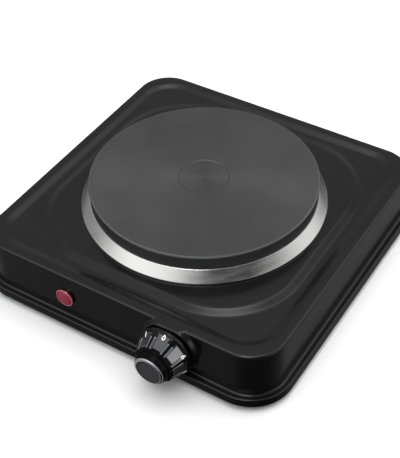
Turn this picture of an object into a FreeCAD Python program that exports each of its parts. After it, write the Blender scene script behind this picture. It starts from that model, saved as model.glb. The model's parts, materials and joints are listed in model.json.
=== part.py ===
import FreeCAD, Part
import math
import os

# Single electric hot plate: a pressed steel housing, a cast-iron plate in a
# stainless spill ring, a thermostat behind a turning knob, and an indicator lamp.
# Millimetres. +Z is up and the front (knob side) is -Y. Everything is drawn about
# the plate's axis, then moved so that the origin is on the floor under the middle
# of the overall outline, knob included.

V = FreeCAD.Vector
ORIGIN = V(0, 0, 0)
X_AXIS = V(1, 0, 0)
Y_AXIS = V(0, 1, 0)
Z_AXIS = V(0, 0, 1)

# Driving dimensions of the housing
FOOT_HEIGHT = 6.0            # from the floor to the lower edge of the skirt
SHEET = 0.8                  # enamelled steel sheet
CORNER = 100.0               # centre of the plan corners, in X and in Y
SKIRT_FOOT = 33.8            # the radii of the plan corners at each level:
SKIRT_HEAD = 33.0            # a side of the housing is at CORNER plus this
WALL_FOOT = 28.0
WALL_HEAD = 27.2
RIM_FLAT = 23.0
CHANNEL_CORNER = 92.0        # centre of the channel's plan corners
CHANNEL_HEAD = 28.0          # outer and inner edge of the channel's slope
CHANNEL_FOOT = 21.6
LEDGE_Z = FOOT_HEIGHT + 6.2
RIM_Z = FOOT_HEIGHT + 45.5
FLAT_Z = FOOT_HEIGHT + 43.5
DECK_Z = FOOT_HEIGHT + 45.7
DECK_CORNER = 43.5           # centre of the raised deck's plan corners
DECK_FOOT = 65.5
DECK_HEAD = 59.5
STEP_END = 2.0               # level sheet drawn with a step on each side of it
DECK_OPENING_R = 88.0
WALL_HOLE = (120.0, 135.0)   # how far from the middle the cuts through a wall reach
SPINDLE_HOLE_R = 5.2
LAMP_HOLE_R = 6.0
INLET_HOLE_R = 7.0
BOSS_SCREW_HOLE_R = 2.2

# Driving dimensions of the plate and its ring
PLATE_R = 90.0
PLATE_BODY_R = 86.3
PLATE_TOP = FOOT_HEIGHT + 67.0
PLATE_UNDERSIDE = 55.0
PLATE_SEAT = FOOT_HEIGHT + 55.1
RECESS_R = 20.0
RECESS_DEPTH = 0.7
RING_FOOT_R = 96.9
RING_HEAD_R = 89.7
RING_SHEET = 0.6
STUD_R = 3.0
STUD_HOLE_R = 3.3
INNER_COIL_R = 40.0
OUTER_COIL_R = 68.0
COIL_Z = 59.0
COIL_WIRE_R = 2.4
GROOVE_TOP = 63.0
TERMINAL_X = 9.5
TERMINAL_Z = 46.7

# Knob, thermostat and lamp: "forward" distances are measured along -Y
KNOB_X = 50.3
KNOB_Z = FOOT_HEIGHT + 25.5
BOSS_R = 22.3
BOSS_FACE = 131.5
KNOB_SKIRT_R = 21.3
KNOB_BACK = 133.8
KNOB_FACE = 157.0
FACETS = 8
FACET_STEP = 360.0 / FACETS
FACET_TURN = -5.5            # the 0 mark's facet stands a little to the right of the top
MARKS = 7                    # 0 to 6 on the dial
MARK_STEP = 50.0
SPINDLE_R = 3.0
RUNNING_CLEARANCE = 0.05
SCREW_OFFSET = 13.0
LEVER_PIVOT_X = -14.3        # lever pivot, from the spindle axis
LEVER_NIB_X = 4.5
LEVER_LIFT = 0.9             # rise of the cam over the whole turn
STACK_X = 13.5
LAMP_X = -42.9
LAMP_Z = FOOT_HEIGHT + 24.6
LAMP_FACE = 127.85
LAMP_RIM_R = 7.6
LAMP_BARREL_R = 5.9

FRAME_SHIFT = (KNOB_FACE - CORNER - SKIRT_FOOT) / 2

# Base, feet, mains inlet and wiring
COVER_Z = 7.0
COVER_HALF = 131.8
FOOT_CENTRE = 100.0
FOOT_R = 10.0
COVER_SCREW_CENTRE = 118.0
BRACKET_TOP = COVER_Z + SHEET + 1.2
EARTH_SCREW = (115.0, 9.0)
EARTH_TAG = 0.8
INLET_X = 70.0
INLET_Z = 25.0
INLET_BORE_R = 3.6
CLAMP_Y = 114.0
BLOCK_Y = 92.0
BLOCK_LENGTH = 18.0
BLOCK_EAR = 4.0
POLE_PITCH = 8.0
POLE_Z = 16.5
WIRE_R = 1.3
LAMP_WIRE_R = 0.8


# ---------------------------------------------------------------- helpers

def corner_arc(before, corner, after, radius):
    """First, middle and last point of the arc that rounds one corner."""
    back = (before - corner).normalize()
    ahead = (after - corner).normalize()
    half_angle = back.getAngle(ahead) / 2
    reach = radius / math.tan(half_angle)
    centre = corner + (back + ahead).normalize() * (radius / math.sin(half_angle))
    middle = centre + (corner - centre).normalize() * radius
    return corner + back * reach, middle, corner + ahead * reach


def rounded_edges(corners, closed):
    """Straight edges and tangent arcs through (point, radius) corners."""
    edges = []
    count = len(corners)
    last_end = None
    first_start = None
    for i, (point, radius) in enumerate(corners):
        start, end = point, point
        arc = None
        if radius > 0:
            start, middle, end = corner_arc(corners[i - 1][0], point, corners[(i + 1) % count][0], radius)
            arc = Part.Arc(start, middle, end).toShape()
        if last_end is not None:
            edges.append(Part.LineSegment(last_end, start).toShape())
        if arc is not None:
            edges.append(arc)
        if first_start is None:
            first_start = start
        last_end = end
    if closed:
        edges.append(Part.LineSegment(last_end, first_start).toShape())
    return edges


def face_of(outline, to_space):
    """Flat face inside an outline of (a, b) or (a, b, radius) corners."""
    corners = [(to_space(c[0], c[1]), c[2] if len(c) > 2 else 0) for c in outline]
    return Part.Face(Part.Wire(rounded_edges(corners, True)))


def upright(a, b):
    return V(a, 0, b)


def flat(a, b):
    return V(a, b, 0)


def turned(outline, angle=360):
    """Solid of revolution about Z from an outline of (radius, z) corners."""
    return face_of(outline, upright).revolve(ORIGIN, Z_AXIS, angle)


def sheet_outline(line, thickness):
    """Closed outline of a sheet whose outer surface follows an open line of
    (a, b, radius) corners, with its thickness on the line's left."""
    inner = []
    count = len(line)
    for i, (a, b, radius) in enumerate(line):
        point = V(a, b, 0)
        back = V(line[i - 1][0], line[i - 1][1], 0) if i > 0 else None
        ahead = V(line[i + 1][0], line[i + 1][1], 0) if i < count - 1 else None
        run_in = (point - back).normalize() if back else (ahead - point).normalize()
        run_out = (ahead - point).normalize() if ahead else run_in
        left_in = Z_AXIS.cross(run_in)
        left_out = Z_AXIS.cross(run_out)
        bisector = (left_in + left_out).normalize()
        offset = point + bisector * (thickness / bisector.dot(left_in))
        turn = run_in.cross(run_out).z
        inner_radius = radius - thickness if turn > 0 else radius + thickness
        inner.append((offset.x, offset.y, inner_radius if radius > 0 else 0))
    return list(line) + inner[::-1]


def around_square(face, corner):
    """Sweep an upright profile face around a square with rounded corners.
    The profile's first coordinate is its distance from the corner axis."""
    pieces = []
    turn = face.revolve(ORIGIN, Z_AXIS, 90)
    turn.translate(V(corner, corner, 0))
    side = face.extrude(V(0, -2 * corner, 0))
    side.translate(V(corner, corner, 0))
    for quarter in range(4):
        for piece in (turn, side):
            copy = piece.copy()
            copy.rotate(ORIGIN, Z_AXIS, 90 * quarter)
            pieces.append(copy)
    return pieces


def rounded_square(half, radius, low, high):
    """Upright prism with a rounded square plan, centred on the Z axis."""
    outline = [(half, half, radius), (-half, half, radius), (-half, -half, radius), (half, -half, radius)]
    prism = face_of(outline, flat).extrude(V(0, 0, high - low))
    prism.translate(V(0, 0, low))
    return prism


def cylinder(radius, low, high, x=0, y=0):
    return Part.makeCylinder(radius, high - low, V(x, y, low))


def along_y(radius, length, x, y, z):
    """Cylinder that starts at (x, y, z) and runs towards +Y."""
    return Part.makeCylinder(radius, length, V(x, y, z), Y_AXIS)


def hollow_cylinder(outer, inner, low, high, x=0, y=0):
    return cylinder(outer, low, high, x, y).cut(cylinder(inner, low, high, x, y))


def block(low, high):
    """Box between two opposite corners."""
    size = V(*high) - V(*low)
    return Part.makeBox(size.x, size.y, size.z, V(*low))


def forward(shape, x, z):
    """Stand a shape built along +Z on the front wall: its Z becomes -Y."""
    shape.rotate(ORIGIN, X_AXIS, 90)
    shape.translate(V(x, 0, z))
    return shape


def backward(shape, x, z):
    """The same on the rear wall: the shape's Z becomes +Y."""
    shape.rotate(ORIGIN, X_AXIS, -90)
    shape.translate(V(x, 0, z))
    return shape


def group(solids):
    return Part.makeCompound(solids)


def hexagon_nut(across_flats, bore, low, high, x=0, y=0):
    corner_r = across_flats / 2 / math.cos(math.radians(30))
    outline = [(corner_r * math.cos(math.radians(60 * k)), corner_r * math.sin(math.radians(60 * k)))
               for k in range(6)]
    nut = face_of(outline, flat).extrude(V(0, 0, high - low))
    nut.translate(V(x, y, low))
    return nut.cut(cylinder(bore, low, high, x, y))


def pan_head_screw(shank_r, head_r, head_height, length):
    """Cross-slotted screw pointing down -Z, with the underside of its head at z = 0."""
    head = turned([(0, 0), (head_r, 0), (head_r, head_height, head_height * 0.6), (0, head_height)])
    screw = head.fuse(cylinder(shank_r, -length, 0))
    reach, half_width, floor = head_r * 0.62, head_r * 0.11, head_height * 0.55
    for x, y in ((reach, half_width), (half_width, reach)):
        screw = screw.cut(block((-x, -y, floor), (x, y, head_height)))
    return screw


def wire_along(points, radius):
    """Round wire whose straight runs are joined by tangent arcs."""
    share_of_run = 0.45
    path = [V(*p) for p in points]
    corners = [(path[0], 0)]
    for before, here, after in zip(path, path[1:], path[2:]):
        half_angle = (before - here).getAngle(after - here) / 2
        shorter = min((here - before).Length, (after - here).Length)
        corners.append((here, share_of_run * shorter * math.tan(half_angle)))
    corners.append((path[-1], 0))
    spine = Part.Wire(rounded_edges(corners, False))
    circle = Part.Circle(path[0], path[1] - path[0], radius)
    profile = Part.Wire([circle.toShape()])
    return spine.makePipeShell([profile], True, True)


def at_each(shape, places):
    """Copies of one shape at a list of (x, y) places."""
    copies = []
    for x, y in places:
        copy = shape.copy()
        copy.translate(V(x, y, 0))
        copies.append(copy)
    return copies


def four_corners(distance):
    return [(sx * distance, sy * distance) for sx in (-1, 1) for sy in (-1, 1)]


# ---------------------------------------------------------------- housing

def knob_boss():
    """Round stamped boss that carries the knob, cut level with the rim."""
    edge = 1.5
    seat = CORNER + WALL_HEAD
    solid = turned([(0, seat), (BOSS_R, seat), (BOSS_R, BOSS_FACE, edge), (0, BOSS_FACE)])
    solid = forward(solid, KNOB_X, KNOB_Z)
    limits = block((KNOB_X - BOSS_R - 1, -BOSS_FACE - 1, LEDGE_Z - SHEET / 2),
                   (KNOB_X + BOSS_R + 1, -seat, RIM_Z))
    return solid.common(limits)


def knob_boss_hollow():
    back = CORNER + WALL_HEAD - SHEET - 1.0
    hollow = turned([(0, back), (BOSS_R - SHEET, back), (BOSS_R - SHEET, BOSS_FACE - SHEET, 0.7),
                     (0, BOSS_FACE - SHEET)])
    hollow = forward(hollow, KNOB_X, KNOB_Z)
    limits = block((KNOB_X - BOSS_R, -BOSS_FACE, LEDGE_Z), (KNOB_X + BOSS_R, -back, RIM_Z - SHEET))
    return hollow.common(limits)


def sheet_step(outer, inner):
    """Profile of a gentle step in the sheet from (distance, z) outside to (distance, z) inside."""
    fold = 9.0
    return sheet_outline([(outer[0] + STEP_END, outer[1], 0), (*outer, fold), (*inner, fold),
                          (inner[0] - STEP_END, inner[1], 0)], SHEET)


def flat_ring(outer, outer_corner, inner, inner_corner, top):
    """Level sheet between two rounded squares, each given by its corner radius and corner centre."""
    ring = rounded_square(outer_corner + outer, outer, top - SHEET, top)
    return ring.cut(rounded_square(inner_corner + inner, inner, top - SHEET, top))


def wall_holes():
    low, high = WALL_HOLE
    holes = [forward(cylinder(SPINDLE_HOLE_R, low, high), KNOB_X, KNOB_Z),
             forward(cylinder(LAMP_HOLE_R, low, high), LAMP_X, LAMP_Z),
             backward(cylinder(INLET_HOLE_R, low, high), INLET_X, INLET_Z)]
    for side in (-1, 1):
        holes.append(forward(cylinder(BOSS_SCREW_HOLE_R, low, high), KNOB_X, KNOB_Z + side * SCREW_OFFSET))
    return holes


def make_housing():
    """One pressed sheet: skirt, ledge, wall, rim, shallow channel and raised deck."""
    wall = sheet_outline([(SKIRT_FOOT, FOOT_HEIGHT, 0),
                          (SKIRT_HEAD, LEDGE_Z, 1.1),
                          (WALL_FOOT, LEDGE_Z - 0.3, 1.6),
                          (WALL_HEAD, RIM_Z, 2.0),
                          (RIM_FLAT, RIM_Z, 0)], SHEET)
    channel = sheet_step((CHANNEL_HEAD, RIM_Z), (CHANNEL_FOOT, FLAT_Z))
    deck = sheet_step((DECK_FOOT, FLAT_Z), (DECK_HEAD, DECK_Z))
    pieces = around_square(face_of(wall, upright), CORNER)
    pieces += around_square(face_of(channel, upright), CHANNEL_CORNER)
    pieces += around_square(face_of(deck, upright), DECK_CORNER)
    rim = flat_ring(RIM_FLAT, CORNER, CHANNEL_HEAD + STEP_END, CHANNEL_CORNER, RIM_Z)
    flats = flat_ring(CHANNEL_FOOT - STEP_END, CHANNEL_CORNER, DECK_FOOT + STEP_END, DECK_CORNER, FLAT_Z)
    top = rounded_square(DECK_CORNER + DECK_HEAD - STEP_END, DECK_HEAD - STEP_END, DECK_Z - SHEET, DECK_Z)
    top = top.cut(cylinder(DECK_OPENING_R, DECK_Z - SHEET, DECK_Z))
    shell = pieces[0].fuse(pieces[1:] + [rim, flats, top, knob_boss()])
    return shell.cut([knob_boss_hollow()] + wall_holes()).removeSplitter()


def make_corner_brackets():
    """Four angle brackets, spot-welded inside the walls, that take the cover screws."""
    half_width, flange_height = 14.0, 16.0
    low, high = COVER_Z + SHEET, BRACKET_TOP
    inner = CORNER + WALL_HEAD - SHEET - 0.35
    plate = block((COVER_SCREW_CENTRE - 8, -half_width, low), (inner, half_width, high))
    flange = block((inner - high + low, -half_width, low), (inner, half_width, low + flange_height))
    holes = [cylinder(1.65, low, high, COVER_SCREW_CENTRE), cylinder(1.5, low, high, *EARTH_SCREW)]
    bracket = plate.fuse(flange).cut(holes)
    brackets = []
    for quarter in range(4):
        copy = bracket.copy()
        copy.rotate(ORIGIN, Z_AXIS, 90 * quarter)
        brackets.append(copy)
    return group(brackets)


# ---------------------------------------------------------------- base and feet

def cover_screw_places():
    far = COVER_SCREW_CENTRE
    return [(far, 0), (0, far), (-far, 0), (0, -far)]


def make_bottom_cover():
    """Pressed pan inside the skirt, with two fields of cooling slots."""
    lip = 3.6
    corner_r = COVER_HALF - CORNER
    pan = rounded_square(COVER_HALF, corner_r, COVER_Z, COVER_Z + lip)
    hollow = rounded_square(COVER_HALF - SHEET, corner_r - SHEET, COVER_Z + SHEET, COVER_Z + lip)
    pan = pan.cut(hollow)
    slot_half_length, slot_half_width, pitch, slots = 24.0, 2.0, 11.0, 7
    cuts = []
    for side in (-1, 1):
        for k in range(slots):
            y = (k - (slots - 1) / 2) * pitch
            outline = [(sx * slot_half_length, sy * slot_half_width, 1.9)
                       for sx, sy in ((1, 1), (-1, 1), (-1, -1), (1, -1))]
            slot = face_of(outline, flat).extrude(V(0, 0, SHEET))
            slot.translate(V(side * 58.0 - 18.0, y, COVER_Z))
            cuts.append(slot)
    cuts += at_each(cylinder(1.9, COVER_Z, COVER_Z + SHEET), cover_screw_places())
    cuts += at_each(cylinder(2.1, COVER_Z, COVER_Z + SHEET), four_corners(FOOT_CENTRE))
    cuts += at_each(cylinder(1.5, COVER_Z, COVER_Z + SHEET), [block_screw_place()] + cord_clamp_places())
    return pan.cut(cuts)


def make_cover_screws():
    screw = pan_head_screw(1.65, 3.0, 1.8, 6.0)
    screw.rotate(ORIGIN, X_AXIS, 180)
    screw.translate(V(0, 0, COVER_Z))
    return group(at_each(screw, cover_screw_places()))


def make_foot(x, y):
    """Rubber foot with a recess for its screw head."""
    bore_r, recess_r, recess_top = 2.1, 4.6, 3.0
    foot = turned([(recess_r, 0), (FOOT_R - 1.5, 0, 1.2), (FOOT_R, COVER_Z, 0), (bore_r, COVER_Z),
                   (bore_r, recess_top), (recess_r, recess_top)])
    foot.translate(V(x, y, 0))
    return foot


def make_foot_screws():
    screw = pan_head_screw(2.0, 4.0, 2.2, 8.2)
    screw.rotate(ORIGIN, X_AXIS, 180)
    screw.translate(V(0, 0, 3.0))
    return group(at_each(screw, four_corners(FOOT_CENTRE)))


def make_foot_nuts():
    low = COVER_Z + SHEET
    nuts = [hexagon_nut(7.0, 2.0, low, low + 3.0, x, y) for x, y in four_corners(FOOT_CENTRE)]
    return group(nuts)


# ---------------------------------------------------------------- plate and ring

def make_hot_plate():
    chamfer, groove_depth = 1.2, 0.5
    recess_floor = PLATE_TOP - RECESS_DEPTH
    side_r = PLATE_R - 0.6
    outline = [(0, PLATE_UNDERSIDE), (PLATE_BODY_R, PLATE_UNDERSIDE, 0), (PLATE_BODY_R, PLATE_SEAT, 0),
               (side_r, PLATE_SEAT, 0), (side_r, PLATE_TOP - 2.6, 0),
               (side_r - groove_depth, PLATE_TOP - 2.4, 0), (side_r - groove_depth, PLATE_TOP - 2.0, 0),
               (PLATE_R, PLATE_TOP - 1.8, 0), (PLATE_R, PLATE_TOP - chamfer, 0),
               (PLATE_R - chamfer, PLATE_TOP, 0),
               (RECESS_R + 0.5, PLATE_TOP, 0), (RECESS_R - 0.5, recess_floor, 0), (0, recess_floor)]
    plate = turned(outline)
    cuts = [groove(INNER_COIL_R), groove(OUTER_COIL_R), cylinder(STUD_R, PLATE_UNDERSIDE, 66.0)]
    return plate.cut(cuts)


def make_spill_ring():
    """Sloping stainless ring: rolled foot, straight face and a lip under the plate."""
    line = [(RING_FOOT_R - 1.0, DECK_Z, 0), (RING_FOOT_R, DECK_Z, 0.9), (RING_FOOT_R, DECK_Z + 1.3, 0.9),
            (RING_HEAD_R, PLATE_SEAT, 1.0), (PLATE_BODY_R + 0.3, PLATE_SEAT, 0)]
    return turned(sheet_outline(line, RING_SHEET))


def groove(coil_r):
    half_width = 6.0
    return hollow_cylinder(coil_r + half_width, coil_r - half_width, PLATE_UNDERSIDE, GROOVE_TOP)


def make_coil(coil_r):
    """Wound resistance wire as a round ring, open at the terminals, with two tails."""
    gap = math.degrees(math.asin(TERMINAL_X / coil_r))
    circle = Part.Face(Part.Wire([Part.Circle(V(coil_r, 0, COIL_Z), Y_AXIS, COIL_WIRE_R).toShape()]))
    ring = circle.revolve(ORIGIN, Z_AXIS, 360 - 2 * gap)
    ring.rotate(ORIGIN, Z_AXIS, gap - 90)
    y = -math.sqrt(coil_r ** 2 - TERMINAL_X ** 2)
    tails = [cylinder(0.9, TERMINAL_Z - 0.5, COIL_Z, side * TERMINAL_X, y) for side in (-1, 1)]
    return ring.fuse(tails)


def make_underside_cover():
    top = PLATE_UNDERSIDE
    cover = hollow_cylinder(84.0, STUD_R + 0.5, top - 0.6, top)
    return cover.cut([cylinder(2.0, top - 0.6, top, x, y) for x, y in coil_tail_places()])


def coil_tail_places():
    return [(side * TERMINAL_X, -math.sqrt(r ** 2 - TERMINAL_X ** 2))
            for r in (INNER_COIL_R, OUTER_COIL_R) for side in (-1, 1)]


def make_plate_terminal_block():
    body = block((-16, -75, TERMINAL_Z + 0.5), (16, -33, PLATE_UNDERSIDE - 0.6))
    body = body.makeFillet(2.0, [e for e in body.Edges if abs(e.tangentAt(e.FirstParameter).z) > 0.99])
    return body.cut([cylinder(1.2, 46, 56, x, y) for x, y in coil_tail_places()])


def make_plate_terminals():
    """Two nickel strips that join the coil tails on each side."""
    strips = []
    for side in (-1, 1):
        x = side * TERMINAL_X
        strip = block((x - 2.5, -84, TERMINAL_Z - 0.5), (x + 2.5, -35, TERMINAL_Z + 0.5))
        holes = [cylinder(0.9, 45, 48, px, py) for px, py in coil_tail_places() if px * side > 0]
        strips.append(strip.cut(holes))
    return group(strips)


def make_centre_stud():
    return turned([(0, 23.0), (STUD_R, 23.0, 0), (STUD_R, 66.0, 0.8), (0, 66.0)])


def make_clamp_bridge():
    """Pressed strip under the deck that the centre nut pulls up against."""
    top = DECK_Z - SHEET
    end_x, bend_x, drop_x, floor_z, width = 97.0, 88.0, 66.0, 43.5, 25.0
    line = [(end_x, top, 0), (bend_x, top, 4.0), (drop_x, floor_z, 4.0),
            (-drop_x, floor_z, 4.0), (-bend_x, top, 4.0), (-end_x, top, 0)]
    strip = face_of(sheet_outline(line, 1.5), upright).extrude(V(0, width, 0))
    strip.translate(V(0, -width / 2, 0))
    return strip.cut(cylinder(STUD_HOLE_R, floor_z - 5, floor_z + 5))


def make_centre_washer():
    return hollow_cylinder(8.0, STUD_HOLE_R, 40.5, 42.0)


def make_stud_nuts():
    """One nut under the bridge and two that hold the heat shield."""
    return group([hexagon_nut(10.0, STUD_R, low, low + 5.0) for low in (25.0, 30.5, 35.5)])


def make_heat_shield():
    """Shallow reflector tray below the plate."""
    bore_r, floor_r, brim_r, low, high = 3.4, 70.0, 73.0, 30.0, 36.0
    return turned([(bore_r, low), (floor_r, low, 2.0), (brim_r, high, 0), (brim_r - 0.6, high, 0),
                   (floor_r - 0.4, low + 0.5, 1.5), (bore_r, low + 0.5)])


# ---------------------------------------------------------------- knob

def knob_shell():
    """Skirt, faceted cone and cap, without ribs or hollow."""
    skirt_front, cone_front, cap_front = 136.0, 150.5, KNOB_FACE
    cone_foot_r, cone_head_r, cap_r, cap_edge, face_r, recess = 20.4, 14.6, 12.7, 3.4, 8.8, 0.35
    skirt = turned([(0, KNOB_BACK), (KNOB_SKIRT_R, KNOB_BACK, 0.5), (KNOB_SKIRT_R, skirt_front, 0.9),
                    (0, skirt_front)])
    cone = turned([(0, skirt_front - 1), (cone_foot_r, skirt_front - 1), (cone_head_r, cone_front, 1.0),
                   (0, cone_front)])
    sections = []
    for height, apothem in ((skirt_front - 1, 20.0), (cone_front, 13.7)):
        corner_r = apothem / math.cos(math.radians(FACET_STEP / 2))
        angles = [math.radians((k + 0.5) * FACET_STEP + FACET_TURN) for k in range(FACETS)]
        corners = [V(corner_r * math.cos(a), corner_r * math.sin(a), height) for a in angles]
        sections.append(Part.makePolygon(corners + corners[:1]))
    facets = Part.makeLoft(sections, True, True)
    cap = turned([(0, cone_front - 2), (cap_r + 0.9, cone_front - 2), (cap_r, cap_front, cap_edge),
                  (face_r, cap_front, 0), (face_r, cap_front - recess, 0), (0, cap_front - recess)])
    return skirt.fuse([cone.common(facets), cap])


def knob_ribs():
    """Pairs of raised ribs along each edge between two facets."""
    rib_r, pair_half_angle = 0.9, 6.0
    start, end = V(19.1, 0, 140.0), V(14.3, 0, 151.0)
    rib = Part.makeCylinder(rib_r, (end - start).Length, start, end - start)
    rib = rib.fuse([Part.makeSphere(rib_r, start), Part.makeSphere(rib_r, end)])
    ribs = []
    for k in range(FACETS):
        for side in (-1, 1):
            copy = rib.copy()
            copy.rotate(ORIGIN, Z_AXIS, (k + 0.5) * FACET_STEP + FACET_TURN + side * pair_half_angle)
            ribs.append(copy)
    return ribs


def make_control_knob():
    knob = knob_shell().fuse(knob_ribs())
    hollow_end, hub_back, bore_end = 154.8, 134.0, 150.0
    hollow = turned([(0, KNOB_BACK), (18.4, KNOB_BACK), (17.9, 136.0, 1.0), (11.6, 150.0, 1.0),
                     (10.5, hollow_end, 1.0), (0, hollow_end)])
    hub = cylinder(5.6, hub_back, hollow_end + 0.7)
    bore = cylinder(SPINDLE_R + RUNNING_CLEARANCE, hub_back, bore_end)
    bore_flat = block((-4, 2.1, hub_back), (4, 4, bore_end))
    knob = knob.cut(hollow).fuse(hub.cut(bore.cut(bore_flat)))
    return forward(knob, KNOB_X, KNOB_Z)


def make_knob_spring_clip():
    clip = block((-1.5, 1.65, 136.0), (1.5, 2.05, 148.0))
    return forward(clip, KNOB_X, KNOB_Z)


# ---------------------------------------------------------------- thermostat

BRACKET_FRONT = BOSS_FACE - SHEET
BRACKET_BACK = BRACKET_FRONT - 1.2
LEVER_PIN_FORWARD = 123.8
LEVER_PIN_R = 1.0
LEVER_BACK = 123.2
LEVER_FRONT = 124.4
CAM_BASE = 126.5
MOVING_BLADE_FRONT = 119.0
MOVING_BLADE_BACK = 118.6
FIXED_BLADE_FRONT = 114.6
FIXED_BLADE_BACK = 113.8
BIMETAL_FRONT = 110.8
BIMETAL_BACK = 110.0
BLADE_HALF_WIDTH = 3.5
BLADE_TAB_X = 28.0


def make_thermostat_bracket():
    """Mounting plate behind the boss, with two ears for the lever's pin."""
    plate = cylinder(19.0, BRACKET_BACK, BRACKET_FRONT)
    plate = plate.common(block((-19, -17, BRACKET_BACK), (19, 17, BRACKET_FRONT)))
    holes = [cylinder(4.5, BRACKET_BACK, BRACKET_FRONT),
             cylinder(1.5, BRACKET_BACK, BRACKET_FRONT, STACK_X)]
    holes += [cylinder(1.95, BRACKET_BACK, BRACKET_FRONT, 0, side * SCREW_OFFSET) for side in (-1, 1)]
    plate = plate.cut(holes)
    ears = []
    for side in (-1, 1):
        low, high = sorted((side * 4.8, side * 5.8))
        ears.append(block((LEVER_PIVOT_X - 2.5, low, 121.3), (LEVER_PIVOT_X + 2.5, high, BRACKET_BACK)))
    bracket = plate.fuse(ears).cut(lever_pin())
    return forward(bracket, KNOB_X, KNOB_Z)


def lever_pin():
    return along_y(LEVER_PIN_R, 13.0, LEVER_PIVOT_X, -6.5, LEVER_PIN_FORWARD)


def make_thermostat_screws():
    screws = []
    for side in (-1, 1):
        screw = pan_head_screw(1.95, 3.5, 2.2, 5.5)
        screw.translate(V(0, side * SCREW_OFFSET, BOSS_FACE))
        screws.append(forward(screw, KNOB_X, KNOB_Z))
    return group(screws)


def make_spindle_bush():
    bore = SPINDLE_R + RUNNING_CLEARANCE
    bush = turned([(bore, 128.5), (5.6, 128.5), (5.6, BRACKET_BACK), (4.5, BRACKET_BACK), (4.5, 132.0),
                   (bore, 132.0)])
    return forward(bush, KNOB_X, KNOB_Z)


def make_thermostat_spindle():
    spindle = cylinder(SPINDLE_R, 125.6, 149.0)
    spindle = spindle.cut(block((-4, 1.6, 134.0), (4, 4, 149.0)))
    return forward(spindle, KNOB_X, KNOB_Z)


def make_setting_cam():
    """Stepped face cam: one step for each mark of the dial."""
    outer_r, front = 6.2, 128.2
    cam = hollow_cylinder(outer_r, SPINDLE_R, CAM_BASE, front)
    steps = []
    for k in range(1, MARKS):
        rise = LEVER_LIFT * k / (MARKS - 1)
        sector = Part.makeCylinder(outer_r, rise, V(0, 0, CAM_BASE - rise), Z_AXIS, MARK_STEP)
        sector.rotate(ORIGIN, Z_AXIS, (k - 0.5) * MARK_STEP)
        steps.append(sector.cut(cylinder(SPINDLE_R, CAM_BASE - rise, CAM_BASE)))
    return forward(cam.fuse(steps).removeSplitter(), KNOB_X, KNOB_Z)


def make_setting_lever():
    """Lever on the pin, with a nib that follows the cam."""
    tip_x, nib_gap = 8.3, 0.3
    arm = block((LEVER_PIVOT_X, -BLADE_HALF_WIDTH, LEVER_BACK), (tip_x, BLADE_HALF_WIDTH, LEVER_FRONT))
    barrel = along_y(2.2, 8.4, LEVER_PIVOT_X, -4.2, LEVER_PIN_FORWARD)
    nib = cylinder(1.0, LEVER_FRONT, CAM_BASE - nib_gap, LEVER_NIB_X)
    hole = along_y(LEVER_PIN_R + RUNNING_CLEARANCE, 8.4, LEVER_PIVOT_X, -4.2, LEVER_PIN_FORWARD)
    return forward(arm.fuse([barrel, nib]).cut(hole), KNOB_X, KNOB_Z)


def make_push_pin():
    return forward(cylinder(1.0, 120.3, LEVER_BACK, LEVER_NIB_X + 1.7), KNOB_X, KNOB_Z)


def make_insulators():
    levels = [(MOVING_BLADE_FRONT, BRACKET_BACK), (FIXED_BLADE_FRONT, MOVING_BLADE_BACK),
              (BIMETAL_FRONT, FIXED_BLADE_BACK)]
    rings = [forward(hollow_cylinder(4.2, 1.5, low, high, STACK_X), KNOB_X, KNOB_Z) for low, high in levels]
    return group(rings)


def make_stack_rivet():
    shank = cylinder(1.5, BIMETAL_BACK, BRACKET_FRONT, STACK_X)
    head = cylinder(3.0, BIMETAL_BACK - 1.5, BIMETAL_BACK, STACK_X)
    return forward(shank.fuse(head), KNOB_X, KNOB_Z)


def make_blade(low, high, left_x, right_x):
    blade = block((left_x, -BLADE_HALF_WIDTH, low), (right_x, BLADE_HALF_WIDTH, high))
    return forward(blade.cut(cylinder(1.5, low, high, STACK_X)), KNOB_X, KNOB_Z)


def make_contact_points():
    contact_x = -2.0
    low = cylinder(2.0, MOVING_BLADE_BACK - 1.2, MOVING_BLADE_BACK, contact_x)
    high = cylinder(2.0, FIXED_BLADE_FRONT, FIXED_BLADE_FRONT + 1.2, contact_x)
    return group([forward(low, KNOB_X, KNOB_Z), forward(high, KNOB_X, KNOB_Z)])


# ---------------------------------------------------------------- lamp

LAMP_BACK = 112.0


def make_lamp_lens():
    """Red moulded lens: rounded rim, low dome and a hollow barrel through the wall."""
    rim_front, dome_foot = LAMP_FACE + 2.2, LAMP_FACE + 1.1
    dome_r, dome_height = 6.4, 1.9
    rim = turned([(0, LAMP_FACE), (LAMP_RIM_R, LAMP_FACE, 0), (LAMP_RIM_R, rim_front, 0.8),
                  (dome_r + 0.15, rim_front, 0.6), (dome_r, dome_foot, 0), (0, dome_foot)])
    sphere_r = (dome_r ** 2 + dome_height ** 2) / (2 * dome_height)
    dome = Part.makeSphere(sphere_r, V(0, 0, dome_foot + dome_height - sphere_r))
    dome = dome.common(cylinder(dome_r, dome_foot - 0.2, dome_foot + dome_height))
    barrel = cylinder(LAMP_BARREL_R, LAMP_BACK, LAMP_FACE)
    lens = rim.fuse([dome, barrel]).cut(cylinder(4.9, LAMP_BACK, LAMP_FACE))
    return forward(lens, LAMP_X, LAMP_Z)


def make_lamp_clip():
    """Spring ring that holds the lens barrel behind the wall."""
    wall_back = CORNER + WALL_HEAD - SHEET - 0.1
    return forward(hollow_cylinder(9.0, LAMP_BARREL_R, wall_back - 0.6, wall_back), LAMP_X, LAMP_Z)


def make_neon_bulb():
    bulb = turned([(0, 117.0), (2.9, 117.0, 0.8), (2.9, 126.8, 2.6), (0, 126.8)])
    return forward(bulb, LAMP_X, LAMP_Z)


def make_lamp_resistor():
    return forward(cylinder(1.2, 112.6, 116.6, 1.6), LAMP_X, LAMP_Z)


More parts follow.
